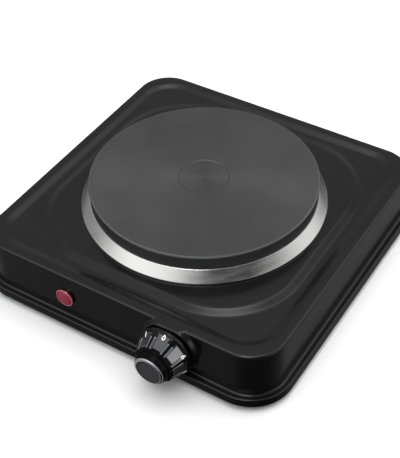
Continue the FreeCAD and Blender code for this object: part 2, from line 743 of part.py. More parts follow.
def make_lamp_end_cap():
    cap = cylinder(6.8, 109.5, LAMP_BACK)
    holes = [cylinder(LAMP_WIRE_R, 109.5, LAMP_BACK, side * 2.5) for side in (-1, 1)]
    return forward(cap.cut(holes), LAMP_X, LAMP_Z)


# ---------------------------------------------------------------- inlet and wiring

def make_cable_gland():
    """Bush in the rear wall for the mains lead."""
    outer, inner = CORNER + WALL_HEAD + 0.75, CORNER + WALL_HEAD - SHEET - 0.05
    gland = turned([(INLET_BORE_R, inner - 1.8), (9.2, inner - 1.8, 0.6), (9.2, inner, 0), (6.9, inner, 0),
                    (6.9, outer, 0), (9.2, outer, 0), (9.2, outer + 2.2, 1.0), (INLET_BORE_R, outer + 2.2)])
    return backward(gland, INLET_X, INLET_Z)


def cord_clamp_places():
    return [(INLET_X + side * 9.0, CLAMP_Y) for side in (-1, 1)]


def make_cord_clamp_base():
    low, high = COVER_Z + SHEET, INLET_Z - 0.4
    body = block((INLET_X - 13, CLAMP_Y - 5, low), (INLET_X + 13, CLAMP_Y + 5, high))
    cord = along_y(INLET_BORE_R - 0.3, 10, INLET_X, CLAMP_Y - 5, INLET_Z)
    return body.cut([cord] + at_each(cylinder(1.5, low, high), cord_clamp_places()))


def make_cord_clamp_saddle():
    low = INLET_Z + 0.4
    body = block((INLET_X - 13, CLAMP_Y - 5, low), (INLET_X + 13, CLAMP_Y + 5, low + 2.0))
    arch = along_y(INLET_BORE_R + 1.7, 10, INLET_X, CLAMP_Y - 5, INLET_Z)
    arch = arch.common(block((INLET_X - 13, CLAMP_Y - 5, low), (INLET_X + 13, CLAMP_Y + 5, low + 9)))
    cord = along_y(INLET_BORE_R - 0.3, 10, INLET_X, CLAMP_Y - 5, INLET_Z)
    return body.fuse(arch).cut([cord] + at_each(cylinder(1.6, low, low + 2), cord_clamp_places()))


def make_cord_clamp_screws():
    seat = INLET_Z + 2.4
    screw = pan_head_screw(1.5, 2.8, 1.8, seat - COVER_Z)
    screw.translate(V(0, 0, seat))
    return group(at_each(screw, cord_clamp_places()))


def block_screw_place():
    return (INLET_X - 1.5 * POLE_PITCH - 4.5, BLOCK_Y)


def pole_places():
    return [INLET_X + k * POLE_PITCH for k in (-1, 0, 1)]


def make_terminal_block():
    low, high = COVER_Z + SHEET, 22.5
    left = INLET_X - 1.5 * POLE_PITCH
    front, rear = BLOCK_Y - BLOCK_LENGTH / 2, BLOCK_Y + BLOCK_LENGTH / 2
    body = block((left, front, low), (left + 3 * POLE_PITCH, rear, high))
    ear = block((left - 9, BLOCK_Y - 5, low), (left, BLOCK_Y + 5, low + BLOCK_EAR))
    body = body.fuse(ear).cut(cylinder(1.6, low, low + BLOCK_EAR, *block_screw_place()))
    bores = [along_y(2.4, BLOCK_LENGTH, x, front, POLE_Z) for x in pole_places()]
    wells = [cylinder(1.7, POLE_Z, high, x, BLOCK_Y + side * 4.5)
             for x in pole_places() for side in (-1, 1)]
    return body.cut(bores + wells)


def make_terminal_clamps():
    """Three brass sleeves in the block."""
    sleeves = []
    for x in pole_places():
        start = (x, BLOCK_Y - 7.5, POLE_Z)
        sleeve = along_y(2.4, 15, *start).cut(along_y(1.6, 15, *start))
        wells = [cylinder(1.3, POLE_Z, POLE_Z + 3, x, BLOCK_Y + side * 4.5) for side in (-1, 1)]
        sleeves.append(sleeve.cut(wells))
    return group(sleeves)


def make_terminal_clamp_screws():
    screws = []
    for x in pole_places():
        for side in (-1, 1):
            screws.append(cylinder(1.3, POLE_Z + WIRE_R + 0.05, POLE_Z + 5.2, x, BLOCK_Y + side * 4.5))
    return group(screws)


def make_terminal_block_screw():
    screw = pan_head_screw(1.5, 2.8, 1.8, BLOCK_EAR + SHEET)
    x, y = block_screw_place()
    screw.translate(V(x, y, COVER_Z + SHEET + BLOCK_EAR))
    return screw


def make_live_wire():
    x = pole_places()[2]
    tab = KNOB_X + BLADE_TAB_X
    return wire_along([(x, BLOCK_Y - 2, POLE_Z), (x, 74, POLE_Z), (90, 52, 18), (107, 22, 20),
                       (112, -22, 20), (110, -66, 24), (100, -98, 30), (91, -116, KNOB_Z),
                       (tab + 0.2, -118.8, KNOB_Z)], WIRE_R)


def make_neutral_wire():
    x = pole_places()[0]
    return wire_along([(x, BLOCK_Y - 2, POLE_Z), (x, 76, POLE_Z), (52, 50, 15), (34, 14, 14), (12, -26, 14),
                       (-6, -66, 16), (-11, -96, 22), (-TERMINAL_X, -103, 34), (-TERMINAL_X, -97, 45),
                       (-TERMINAL_X, -84.1, TERMINAL_Z)], WIRE_R)


def make_switched_wire():
    tab = KNOB_X + BLADE_TAB_X
    return wire_along([(tab + 0.2, -114.2, KNOB_Z), (84, -113.4, 32.5), (84, -104, 38), (62, -97, 43),
                       (36, -97, 45), (14, -99, 46.5), (TERMINAL_X, -94, TERMINAL_Z),
                       (TERMINAL_X, -84.1, TERMINAL_Z)], WIRE_R)


def make_earth_wire():
    x = pole_places()[1]
    end_x, end_y = EARTH_SCREW
    on_tag = BRACKET_TOP + EARTH_TAG + WIRE_R
    return wire_along([(x, BLOCK_Y - 2, POLE_Z), (x, 76, POLE_Z), (76, 58, 13), (88, 36, 11.5),
                       (98, 16, 11.2), (end_x - 4.0, end_y, on_tag)], WIRE_R)


def make_lamp_wires():
    near, far = LAMP_X - 2.5, LAMP_X + 2.5
    neutral = wire_along([(near, -LAMP_BACK, LAMP_Z), (near, -99, LAMP_Z), (-36, -88, 39), (-22, -79, 46.5),
                          (-TERMINAL_X - 2.6, -78, TERMINAL_Z)], LAMP_WIRE_R)
    live = wire_along([(far, -LAMP_BACK, LAMP_Z), (far, -99, LAMP_Z), (-32, -92, 44), (-18, -89, 49.6),
                       (-4, -87, 49.8), (2, -79, 47), (TERMINAL_X - 2.6, -78, TERMINAL_Z)], LAMP_WIRE_R)
    return group([neutral, live])


def make_earth_tag():
    """Ring tag that the earth wire is crimped to."""
    x, y = EARTH_SCREW
    ring = cylinder(3.4, BRACKET_TOP, BRACKET_TOP + EARTH_TAG, x, y)
    tongue = block((x - 9.0, y - 1.6, BRACKET_TOP), (x, y + 1.6, BRACKET_TOP + EARTH_TAG))
    return ring.fuse(tongue).cut(cylinder(1.6, BRACKET_TOP, BRACKET_TOP + EARTH_TAG, x, y))


def make_earth_screw():
    screw = pan_head_screw(1.5, 3.0, 2.0, 1.9)
    screw.translate(V(*EARTH_SCREW, BRACKET_TOP + EARTH_TAG))
    return screw


# ---------------------------------------------------------------- the assembly

def build_nodes():
    coils = {"inner": INNER_COIL_R, "outer": OUTER_COIL_R}
    nodes = {
        "housing": make_housing(),
        "corner_brackets": make_corner_brackets(),
        "bottom_cover": make_bottom_cover(),
        "bottom_cover_screws": make_cover_screws(),
        "foot_screws": make_foot_screws(),
        "foot_nuts": make_foot_nuts(),
        "hot_plate": make_hot_plate(),
        "spill_ring": make_spill_ring(),
        "plate_underside_cover": make_underside_cover(),
        "plate_terminal_block": make_plate_terminal_block(),
        "plate_terminals": make_plate_terminals(),
        "centre_stud": make_centre_stud(),
        "clamp_bridge": make_clamp_bridge(),
        "centre_washer": make_centre_washer(),
        "stud_nuts": make_stud_nuts(),
        "heat_shield": make_heat_shield(),
        "control_knob": make_control_knob(),
        "knob_spring_clip": make_knob_spring_clip(),
        "thermostat_bracket": make_thermostat_bracket(),
        "thermostat_screws": make_thermostat_screws(),
        "spindle_bush": make_spindle_bush(),
        "thermostat_spindle": make_thermostat_spindle(),
        "setting_cam": make_setting_cam(),
        "setting_lever": make_setting_lever(),
        "lever_pivot_pin": forward(lever_pin(), KNOB_X, KNOB_Z),
        "push_pin": make_push_pin(),
        "thermostat_insulators": make_insulators(),
        "thermostat_rivet": make_stack_rivet(),
        "moving_contact_blade": make_blade(MOVING_BLADE_BACK, MOVING_BLADE_FRONT, -5.0, BLADE_TAB_X),
        "fixed_contact_blade": make_blade(FIXED_BLADE_BACK, FIXED_BLADE_FRONT, -5.0, BLADE_TAB_X),
        "bimetal_strip": make_blade(BIMETAL_BACK, BIMETAL_FRONT, -8.0, 18.0),
        "contact_points": make_contact_points(),
        "lamp_lens": make_lamp_lens(),
        "lamp_retaining_clip": make_lamp_clip(),
        "neon_bulb": make_neon_bulb(),
        "lamp_resistor": make_lamp_resistor(),
        "lamp_end_cap": make_lamp_end_cap(),
        "lamp_wires": make_lamp_wires(),
        "cable_gland": make_cable_gland(),
        "cord_clamp_base": make_cord_clamp_base(),
        "cord_clamp_saddle": make_cord_clamp_saddle(),
        "cord_clamp_screws": make_cord_clamp_screws(),
        "terminal_block": make_terminal_block(),
        "terminal_clamps": make_terminal_clamps(),
        "terminal_clamp_screws": make_terminal_clamp_screws(),
        "terminal_block_screw": make_terminal_block_screw(),
        "live_wire": make_live_wire(),
        "neutral_wire": make_neutral_wire(),
        "switched_wire": make_switched_wire(),
        "earth_wire": make_earth_wire(),
        "earth_tag": make_earth_tag(),
        "earth_screw": make_earth_screw(),
    }
    for name, coil_r in coils.items():
        coil = make_coil(coil_r)
        nodes[name + "_heating_coil"] = coil
        nodes[name + "_insulation"] = groove(coil_r).cut(coil)
    for y_name, y_side in (("front", -1), ("rear", 1)):
        for x_name, x_side in (("left", -1), ("right", 1)):
            nodes[y_name + "_" + x_name + "_foot"] = make_foot(x_side * FOOT_CENTRE, y_side * FOOT_CENTRE)
    return nodes


def main():
    os.makedirs("parts", exist_ok=True)
    for name, shape in build_nodes().items():
        solids = shape.Solids
        if not solids or not shape.isValid():
            raise ValueError(name + " is not a valid solid")
        print(name, len(solids), round(shape.Volume, 1))
        shape.translate(V(0, FRAME_SHIFT, 0))
        shape.exportStep("parts/" + name + ".step")


main()
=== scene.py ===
import json
import math

import bmesh
import bpy
from mathutils import Matrix, Vector


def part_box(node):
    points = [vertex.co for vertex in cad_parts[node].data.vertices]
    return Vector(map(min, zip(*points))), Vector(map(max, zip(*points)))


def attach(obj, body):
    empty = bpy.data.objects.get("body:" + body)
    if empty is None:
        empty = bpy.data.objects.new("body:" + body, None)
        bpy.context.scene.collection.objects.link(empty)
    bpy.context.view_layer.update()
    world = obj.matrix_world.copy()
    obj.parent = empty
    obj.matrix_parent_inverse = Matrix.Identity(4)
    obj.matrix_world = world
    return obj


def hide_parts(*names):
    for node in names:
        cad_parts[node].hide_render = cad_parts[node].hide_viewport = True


# Single electric hot plate: studio view, materials and the visible shells in fine detail.
# Lengths are in millimetres from the plate's axis and from the floor, until metres() turns
# them into the frame's own metres. A height on the knob or the lamp is its distance forward
# of the plate's axis.

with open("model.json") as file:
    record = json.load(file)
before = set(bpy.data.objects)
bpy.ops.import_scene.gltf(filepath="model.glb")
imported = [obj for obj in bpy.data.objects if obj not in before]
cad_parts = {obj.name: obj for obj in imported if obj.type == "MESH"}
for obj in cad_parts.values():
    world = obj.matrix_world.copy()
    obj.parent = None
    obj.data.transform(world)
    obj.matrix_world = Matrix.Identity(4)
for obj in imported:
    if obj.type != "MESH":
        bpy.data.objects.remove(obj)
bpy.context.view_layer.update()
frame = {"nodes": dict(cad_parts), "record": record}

PLATE_LOW, PLATE_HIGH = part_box("hot_plate")
HOUSING_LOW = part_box("housing")[0]
KNOB_LOW, KNOB_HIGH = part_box("control_knob")
LENS_LOW, LENS_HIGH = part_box("lamp_lens")
MM = 0.001
AXIS = (PLATE_LOW + PLATE_HIGH) / 2
AXIS.z = 0.0

# Housing: levels, the centres of its plan corners, and how far each line stands outside them
SKIRT_Z = HOUSING_LOW.z / MM
LEDGE_Z = SKIRT_Z + 6.2
FLAT_Z = SKIRT_Z + 43.5
RIM_Z = SKIRT_Z + 45.5
DECK_Z = SKIRT_Z + 45.7
SHEET = 0.8
CORNER = 100.0
SKIRT_FOOT = 33.8
SKIRT_HEAD = 33.0
WALL_FOOT = 28.0
WALL_HEAD = 27.2
RIM_FLAT = 23.0
CHANNEL_CORNER = 92.0
CHANNEL_HEAD = 28.0
CHANNEL_FOOT = 21.6
DECK_CORNER = 43.5
DECK_FOOT = 65.5
DECK_HEAD = 59.5
OPENING_R = 88.0

# Holes in the walls, how far out their cuts reach, and the boss around the knob's spindle
WALL_HOLE = (120.0, 134.0)
LAMP_HOLE_R = 6.0
SPINDLE_HOLE_R = 5.2
INLET_HOLE_R = 7.0
INLET_X = 70.0
INLET_Z = 25.0
BOSS_R = 22.3
BOSS_FACE = 131.5
BOSS_SCREW_HOLE_R = 2.2
BOSS_SCREW_OFFSET = 13.0

# Plate, and the seat that it shares with its ring
PLATE_TOP = PLATE_HIGH.z / MM
PLATE_UNDERSIDE = PLATE_LOW.z / MM
PLATE_R = (PLATE_HIGH.x - PLATE_LOW.x) / 2 / MM
PLATE_BODY_R = 86.3
SEAT_Z = SKIRT_Z + 55.1
RECESS_R = 20.0
RECESS_DEPTH = 0.7
GROOVE_PITCH = 1.35

# Knob: a skirt, a cone cut by flat facets, and a cap; angles in degrees
KNOB_X = (KNOB_LOW.x + KNOB_HIGH.x) / 2 / MM
KNOB_Z = (KNOB_LOW.z + KNOB_HIGH.z) / 2 / MM
KNOB_SKIRT_R = (KNOB_HIGH.x - KNOB_LOW.x) / 2 / MM
KNOB_BACK = (AXIS.y - KNOB_HIGH.y) / MM
KNOB_FACE = (AXIS.y - KNOB_LOW.y) / MM
CONE_FOOT = 136.3
CONE_HEAD = 150.6
CONE_FOOT_R = 20.3
CONE_HEAD_R = 14.7
FACETS = 8
FACET_STEP = 360.0 / FACETS
FACET_TURN = -5.5
FACET_FOOT = 136.4
FACET_FOOT_R = 19.35
FACET_HEAD_R = 13.55
RIB_ANGLE = 6.0
RIB_START = 141.0
RIB_END = 150.2
CAP_R = 12.7
CAP_EDGE = 3.4
CAP_FACE_R = 8.8
CAP_RECESS = 0.35
MARKS = 7
MARK_STEP = 50.0
MARK_HEIGHT = 138.4

# Lamp
LAMP_X = (LENS_LOW.x + LENS_HIGH.x) / 2 / MM
LAMP_Z = (LENS_LOW.z + LENS_HIGH.z) / 2 / MM
LAMP_SEAT = 127.85
LAMP_RIM_R = (LENS_HIGH.x - LENS_LOW.x) / 2 / MM
LAMP_DOME_R = 6.3
LAMP_BACK = 112.0

# View: direction of the camera from its target, in degrees, and its distance in metres
VIEW_AZIMUTH = 32.927
VIEW_ELEVATION = 43.189
VIEW_ROLL = -1.594
VIEW_DISTANCE = 0.788426
FIELD_OF_VIEW = 24.386
VIEW_TARGET = (24.815, -46.108, SKIRT_Z + 60.0)

# A radius below this is a pole on the axis
POLE = 1e-6


def metres(x, y, z):
    """Place in the frame, from millimetres about the plate's axis."""
    return Vector((x, y, z)) * MM + AXIS


def on_wall(centre_x, centre_z, side=1):
    """Local axes on the front wall, or on the rear wall with side -1: z runs outward, y up."""
    def place(x, y, z):
        return metres(centre_x + x, -side * z, centre_z + y)
    return place


# ---------------------------------------------------------------- mesh helpers

def rounded(corners, steps=6, longest=None):
    """Points along a line of (a, b) or (a, b, radius) corners, with arcs at the radii."""
    points = []
    for i, corner in enumerate(corners):
        here = Vector(corner[:2])
        radius = corner[2] if len(corner) > 2 else 0.0
        if radius <= 0.0 or i in (0, len(corners) - 1):
            points.append(here)
            continue
        back = (Vector(corners[i - 1][:2]) - here).normalized()
        ahead = (Vector(corners[i + 1][:2]) - here).normalized()
        half_angle = back.angle(ahead) / 2
        centre = here + (back + ahead).normalized() * (radius / math.sin(half_angle))
        start = here + back * (radius / math.tan(half_angle)) - centre
        end = here + ahead * (radius / math.tan(half_angle)) - centre
        for k in range(steps + 1):
            points.append(centre + start.normalized().slerp(end.normalized(), k / steps) * radius)
    if longest is None:
        return [tuple(p) for p in points]
    fine = [points[0]]
    for start, end in zip(points, points[1:]):
        pieces = max(1, math.ceil((end - start).length / longest))
        fine += [start.lerp(end, (k + 1) / pieces) for k in range(pieces)]
    return [tuple(p) for p in fine]


def new_object(name, mesh_data, sharp_angle=35.0):
    """Object from a bmesh, shaded smooth with sharp edges above an angle."""
    mesh = bpy.data.meshes.new(name)
    bmesh.ops.remove_doubles(mesh_data, verts=mesh_data.verts, dist=1e-7)
    mesh_data.to_mesh(mesh)
    mesh_data.free()
    piece = bpy.data.objects.new(name, mesh)
    bpy.context.scene.collection.objects.link(piece)
    shade(piece, sharp_angle)
    return piece


def shade(piece, sharp_angle):
    for polygon in piece.data.polygons:
        polygon.use_smooth = True
    piece.data.set_sharp_from_angle(angle=math.radians(sharp_angle))


def skin_rows(mesh_data, rows, closed=True):
    """Quads between neighbouring rows of points; a row of one point is a pole."""
    made = [[mesh_data.verts.new(p) for p in row] for row in rows]
    for low, high in zip(made, made[1:]):
        count = max(len(low), len(high))
        for k in range(count if closed else count - 1):
            n = (k + 1) % count
            if len(low) == 1:
                mesh_data.faces.new((low[0], high[n], high[k]))
            elif len(high) == 1:
                mesh_data.faces.new((low[k], low[n], high[0]))
            else:
                mesh_data.faces.new((low[k], low[n], high[n], high[k]))
    return made


def circle(place, radius, height, segments):
    """Row of points around the local z axis, or the pole alone where the radius is zero."""
    if radius < POLE:
        return [place(0.0, 0.0, height)]
    angles = [2 * math.pi * k / segments for k in range(segments)]
    return [place(radius * math.cos(a), radius * math.sin(a), height) for a in angles]


def turned(name, line, place, segments=192, sharp_angle=35.0):
    """Body of revolution about the local z axis from a line of (radius, z) points."""
    mesh_data = bmesh.new()
    skin_rows(mesh_data, [circle(place, radius, height, segments) for radius, height in line])
    bmesh.ops.recalc_face_normals(mesh_data, faces=mesh_data.faces)
    return new_object(name, mesh_data, sharp_angle)


def apply_modifiers(piece):
    """Bake a piece's modifiers into its mesh."""
    bpy.context.view_layer.update()
    evaluated = piece.evaluated_get(bpy.context.evaluated_depsgraph_get())
    mesh = bpy.data.meshes.new_from_object(evaluated)
    piece.modifiers.clear()
    piece.data = mesh


def smooth_step(value):
    value = min(1.0, max(0.0, value))
    return value * value * (3 - 2 * value)


# ---------------------------------------------------------------- housing

def stations():
    """Points around a rounded square: the corner's share of the core, and the outward direction.

    The front side has closer stations around the knob boss.
    """
    boss_half, boss_pitch, clear, side_steps, corner_steps = 26.0, 0.33, 0.02, 24, 22
    front_side = 3
    ring = []
    for quarter in range(4):
        turn = Matrix.Rotation(math.radians(90 * quarter), 2)
        shares = [-1 + 2 * k / side_steps for k in range(side_steps)]
        if quarter == front_side:
            low, high = (KNOB_X - boss_half) / CORNER, (KNOB_X + boss_half) / CORNER
            count = round(2 * boss_half / boss_pitch)
            shares = [s for s in shares if s < low - clear or s > high + clear]
            shares = sorted(shares + [low + (high - low) * k / count for k in range(count + 1)])
        for share in shares:
            ring.append((turn @ Vector((1, share)), turn @ Vector((1, 0))))
        for k in range(corner_steps):
            angle = math.radians(90 * k / corner_steps)
            ring.append((turn @ Vector((1, 1)), turn @ Vector((math.cos(angle), math.sin(angle)))))
    return ring


def boss_reach(x, z):
    """Share of the boss's depth at a place on the front wall: 1 on its face, 0 outside."""
    edge, fall = 1.1, 1.3
    radius = math.hypot(x - KNOB_X, z - KNOB_Z)
    if radius < BOSS_R - edge:
        return 1.0
    return 1.0 - smooth_step((radius - BOSS_R + edge) / (edge + fall))


def with_boss(x, y, z, share):
    """Move a point of the front wall forward onto the knob boss."""
    if y > -CORNER or share <= 0.0:
        return x, y, z
    reach = boss_reach(x, z) * share
    wall_face = CORNER + (WALL_FOOT + WALL_HEAD) / 2
    return x, y - reach * (BOSS_FACE - wall_face), z


def gentle_step(core, outer, inner):
    """Rows over one gentle step between two levels, from outside to inside."""
    end, fold = 2.0, 9.0
    corners = [(outer[0] + end, outer[1]), (*outer, fold), (*inner, fold), (inner[0] - end, inner[1])]
    line = rounded(corners, steps=10, longest=0.5)
    return [(core, reach, height, 0.0) for reach, height in line]


def housing_rows():
    """Rows of (core, distance from the core, height, share of the boss) over the shell's outside."""
    wall = rounded([(SKIRT_FOOT, SKIRT_Z), (SKIRT_HEAD, LEDGE_Z, 1.0), (WALL_FOOT, LEDGE_Z - 0.3, 1.6),
                    (WALL_HEAD, RIM_Z, 1.9), (RIM_FLAT, RIM_Z)], steps=8, longest=0.35)
    ledge_start, ledge_fade, rim_fade = 31.5, 3.0, 2.3
    rows = []
    for reach, height in wall:
        share = 1.0
        if height < LEDGE_Z + 0.5:
            share = smooth_step((ledge_start - reach) / ledge_fade)
        if height > RIM_Z - 0.01:
            share = smooth_step((reach - RIM_FLAT) / rim_fade)
        rows.append((CORNER, reach, height, share))
    rows += gentle_step(CHANNEL_CORNER, (CHANNEL_HEAD, RIM_Z), (CHANNEL_FOOT, FLAT_Z))
    rows += gentle_step(DECK_CORNER, (DECK_FOOT, FLAT_Z), (DECK_HEAD, DECK_Z))
    return rows


def make_housing():
    """Stamped shell: skirt, walls, rim, channel, deck and boss, in sheet with its holes cut."""
    mesh_data = bmesh.new()
    ring = stations()
    rows = []
    for core, reach, height, share in housing_rows():
        row = []
        for corner, outward in ring:
            spot = corner * core + outward * reach
            row.append(metres(*with_boss(spot.x, spot.y, height, share)))
        rows.append(row)
    last = [p - AXIS for p in rows[-1]]
    opening = [Vector((p.x, p.y, 0)).normalized() * OPENING_R for p in last]
    rows.append([metres(p.x, p.y, DECK_Z) for p in opening])
    skin_rows(mesh_data, rows)
    bmesh.ops.recalc_face_normals(mesh_data, faces=mesh_data.faces)
    top = max(mesh_data.faces, key=lambda f: f.calc_center_median().z)
    if top.normal.z < 0:
        bmesh.ops.reverse_faces(mesh_data, faces=mesh_data.faces)
    housing = new_object("housing_shell", mesh_data, 40.0)
    solidify = housing.modifiers.new("sheet", "SOLIDIFY")
    solidify.thickness = SHEET * MM
    solidify.offset = -1.0
    cut_holes(housing)
    apply_modifiers(housing)
    shade(housing, 40.0)
    return housing


def hole_cutter(name, x, z, radius, side=1):
    """Bar through the front wall, or through the rear wall with side -1."""
    near, far = WALL_HOLE
    line = [(0, near), (radius, near), (radius, far), (0, far)]
    cutter = turned(name, line, on_wall(x, z, side), segments=64)
    cutter.hide_render = True
    return cutter


def cut_holes(housing):
    holes = [
        ("lamp_hole", LAMP_X, LAMP_Z, LAMP_HOLE_R),
        ("spindle_hole", KNOB_X, KNOB_Z, SPINDLE_HOLE_R),
        ("inlet_hole", INLET_X, INLET_Z, INLET_HOLE_R, -1),
        ("lower_screw_hole", KNOB_X, KNOB_Z - BOSS_SCREW_OFFSET, BOSS_SCREW_HOLE_R),
        ("upper_screw_hole", KNOB_X, KNOB_Z + BOSS_SCREW_OFFSET, BOSS_SCREW_HOLE_R),
    ]
    cutters = [hole_cutter(*hole) for hole in holes]
    for cutter in cutters:
        boolean = housing.modifiers.new(cutter.name, "BOOLEAN")
        boolean.operation = "DIFFERENCE"
        boolean.solver = "EXACT"
        boolean.object = cutter
    apply_modifiers(housing)
    for cutter in cutters:
        bpy.data.objects.remove(cutter)


# ---------------------------------------------------------------- plate and ring

def make_hot_plate():
    """Cast plate: turned rings on its top, a shallow recess, an edge bead and a shoulder."""
    recess_z = PLATE_TOP - RECESS_DEPTH
    edge_r = PLATE_R - 0.6
    seat = SEAT_Z + 0.05
    line = [(0, recess_z - 0.35), (0.5, recess_z - 0.3), (1.3, recess_z)]
    line += turned_rings(2.4, RECESS_R - 1.2, recess_z, 0.03)
    line += rounded([(RECESS_R - 1.0, recess_z), (RECESS_R - 0.5, recess_z, 0.3),
                     (RECESS_R + 0.3, PLATE_TOP, 0.4), (RECESS_R + 1.6, PLATE_TOP)], steps=4)
    line += turned_rings(RECESS_R + 2.2, PLATE_R - 1.7, PLATE_TOP, 0.055)
    line += rounded([(PLATE_R - 1.5, PLATE_TOP), (PLATE_R - 1.2, PLATE_TOP, 0.2),
                     (PLATE_R, PLATE_TOP - 1.15, 0.45), (PLATE_R, PLATE_TOP - 1.9, 0.3),
                     (edge_r - 0.5, PLATE_TOP - 2.2, 0.3), (edge_r, PLATE_TOP - 2.8, 0.5),
                     (edge_r, seat, 0.4), (PLATE_BODY_R, seat, 0.2),
                     (PLATE_BODY_R, PLATE_UNDERSIDE), (0, PLATE_UNDERSIDE)], steps=5)
    return turned("hot_plate_casting", line, metres, segments=288, sharp_angle=50.0)


def turned_rings(inner, outer, height, depth):
    """Fine rounded grooves left by the lathe."""
    steps = 4
    count = round((outer - inner) / GROOVE_PITCH * steps)
    line = []
    for k in range(count + 1):
        radius = inner + (outer - inner) * k / count
        line.append((radius, height - depth * (0.5 - 0.5 * math.cos(2 * math.pi * k / steps))))
    return line


def make_spill_ring():
    """Sloping ring of stainless sheet with rolled edges."""
    foot_r, head_r, turned_in_r, lip_r = 96.9, 89.9, 95.3, 86.8
    deck = DECK_Z + 0.05
    seat = SEAT_Z - 0.05
    outside = rounded([(turned_in_r, deck), (foot_r, deck, 0.75), (foot_r, DECK_Z + 1.5, 0.7),
                       (head_r, SEAT_Z - 0.1, 1.2), (88.4, seat, 0.5), (lip_r, seat)],
                      steps=6, longest=1.2)
    inside = rounded([(lip_r, SEAT_Z - 0.65), (89.5, SEAT_Z - 0.8, 0.7), (95.9, DECK_Z + 1.4, 0.3),
                      (turned_in_r, deck)], steps=4)
    return turned("spill_ring_sheet", outside + inside, metres, segments=288, sharp_angle=45.0)


# ---------------------------------------------------------------- knob

def knob_profile():
    """(radius, height) of the knob's outside before its facets are cut."""
    face = KNOB_FACE - CAP_RECESS
    corners = [(KNOB_SKIRT_R - 0.5, KNOB_BACK), (KNOB_SKIRT_R, KNOB_BACK, 0.45),
               (KNOB_SKIRT_R, CONE_FOOT - 0.2, 0.8), (CONE_FOOT_R, CONE_FOOT, 0.3),
               (CONE_HEAD_R, CONE_HEAD, 1.2), (CAP_R + 0.5, CONE_HEAD + 0.6, 0.8),
               (CAP_R, KNOB_FACE, CAP_EDGE), (CAP_FACE_R + 0.3, KNOB_FACE, 0.4),
               (CAP_FACE_R, face, 0.4), (0, face)]
    return rounded(corners, steps=6, longest=0.55)


def knob_hollow():
    """(radius, height) of the knob's inside, with the socket for the spindle."""
    socket_r, bore_r, socket_foot, bore_head, roof = 5.6, 3.1, 134.2, 150.0, 154.6
    corners = [(18.4, KNOB_BACK), (17.6, CONE_FOOT - 0.1, 0.8), (11.4, CONE_HEAD - 0.6, 1.0),
               (10.3, roof, 1.0), (socket_r, roof, 0.6), (socket_r, socket_foot),
               (bore_r, socket_foot), (bore_r, bore_head), (0, bore_head)]
    return rounded(corners, steps=3)


def facet_radius(angle, height, radius):
    """Radius where a flat facet cuts the cone; softened where facet and cone meet."""
    if not FACET_FOOT < height < CONE_HEAD:
        return radius
    share = (height - FACET_FOOT) / (CONE_HEAD - FACET_FOOT)
    apothem = FACET_FOOT_R + (FACET_HEAD_R - FACET_FOOT_R) * share
    off = (angle - FACET_TURN + FACET_STEP / 2) % FACET_STEP - FACET_STEP / 2
    flat = apothem / math.cos(math.radians(off))
    fade = smooth_step((height - FACET_FOOT) / 0.5) * smooth_step((CONE_HEAD - height) / 0.7)
    softness = 0.22
    blend = max(softness - abs(radius - flat), 0.0) / softness
    cut = min(radius, flat) - blend * blend * softness * 0.25
    return radius + (cut - radius) * fade


def rib_height(angle, height):
    """Two raised ribs along each edge between facets."""
    half_width, rise = 0.95, 0.85
    if not RIB_START - 1 < height < RIB_END + 1:
        return 0.0
    off = (angle - FACET_TURN) % FACET_STEP - FACET_STEP / 2
    across = math.radians(abs(off) - RIB_ANGLE) * cone_radius(height)
    over = max(RIB_START - height, height - RIB_END, 0.0)
    distance = math.hypot(across, over)
    if distance >= half_width:
        return 0.0
    return rise * math.sqrt(1 - (distance / half_width) ** 2)


def knob_row(place, radius, height, columns):
    """Row of points around the knob with its facets and ribs, or the pole alone."""
    if radius < POLE:
        return [place(0.0, 0.0, height)]
    row = []
    for k in range(columns):
        angle = 360.0 * k / columns
        cut = facet_radius(angle, height, radius) + rib_height(angle, height)
        row.append(place(cut * math.cos(math.radians(angle)), cut * math.sin(math.radians(angle)), height))
    return row


def make_knob():
    """Hollow moulding: its inside from the pole to the back, then its outside to the cap."""
    columns = 720
    place = on_wall(KNOB_X, KNOB_Z)
    mesh_data = bmesh.new()
    inside = [circle(place, radius, height, columns) for radius, height in reversed(knob_hollow())]
    outside = [knob_row(place, radius, height, columns) for radius, height in knob_profile()]
    skin_rows(mesh_data, inside + outside)
    bmesh.ops.recalc_face_normals(mesh_data, faces=mesh_data.faces)
    return new_object("knob_moulding", mesh_data, 45.0)


def cone_radius(height):
    return CONE_FOOT_R + (CONE_HEAD_R - CONE_FOOT_R) * (height - CONE_FOOT) / (CONE_HEAD - CONE_FOOT)


def on_cone(angle, across, up, out):
    """Place on the knob's surface: across and up from the middle of a mark, and out of the surface."""
    slope = math.atan2(CONE_FOOT_R - CONE_HEAD_R, CONE_HEAD - CONE_FOOT)
    height = MARK_HEIGHT - up * math.cos(slope)
    radius = cone_radius(height)
    turn = angle - math.degrees(across / radius)
    radius = facet_radius(turn, height, radius) + out / math.cos(slope)
    return Vector((radius * math.cos(math.radians(turn)), radius * math.sin(math.radians(turn)), height))


